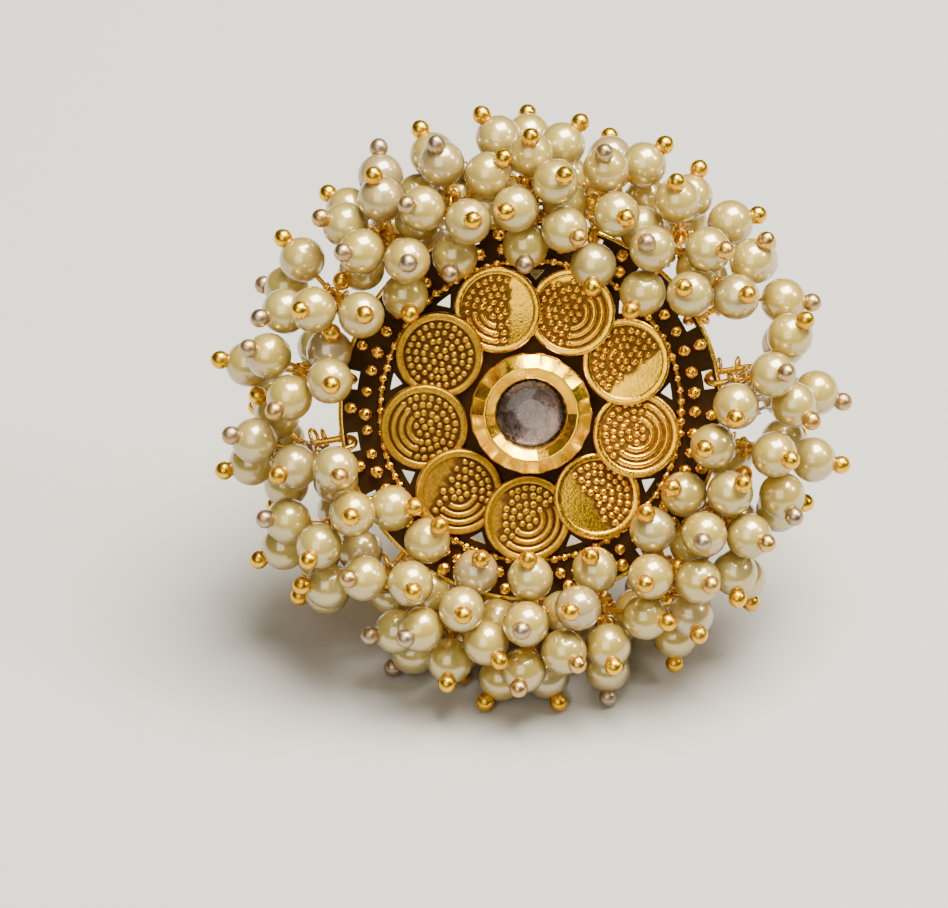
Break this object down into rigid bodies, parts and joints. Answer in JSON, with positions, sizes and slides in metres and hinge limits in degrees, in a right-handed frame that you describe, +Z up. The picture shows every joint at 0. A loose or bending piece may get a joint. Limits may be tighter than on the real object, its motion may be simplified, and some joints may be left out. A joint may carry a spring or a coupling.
{
  "type": "finger ring",
  "caption": "Round cocktail finger ring: a dial of overlapping coins round a bezel-set stone, edged with bunches of pearl drops, on a plain band.",
  "frame": {"origin": "bottom centre of the box round the whole ring, on the surface that it lies on", "axes": "+X along the finger's way through the band and the longest way across, +Z up, the face of the ring towards -Y and upwards"},
  "size_m": [0.0418, 0.033, 0.0334],
  "materials": {
    "antique_gold": "polished, darkened in the recesses",
    "band_gold": "polished",
    "wire_gold": "bright, tarnished in places",
    "pearl": "pearl lacquer",
    "stone_glass": "clear, foiled behind"
  },
  "bodies": {
    "root": {"coin_dial": "antique_gold", "centre_stone": "stone_glass", "finger_band": "band_gold", "pearl_bunch_01": "pearl", "pearl_bunch_02": "pearl", "pearl_bunch_03": "pearl", "pearl_bunch_04": "pearl", "pearl_bunch_05": "pearl", "pearl_bunch_06": "pearl", "pearl_bunch_07": "pearl", "pearl_bunch_08": "pearl", "pearl_bunch_09": "pearl", "pearl_bunch_10": "pearl", "pearl_bunch_11": "pearl", "pearl_bunch_12": "pearl", "pearl_bunch_13": "pearl", "pearl_bunch_14": "pearl", "pearl_bunch_15": "pearl", "pearl_bunch_16": "pearl", "pearl_bunch_17": "pearl", "pearl_bunch_18": "pearl"}
  },
  "joints": []
}
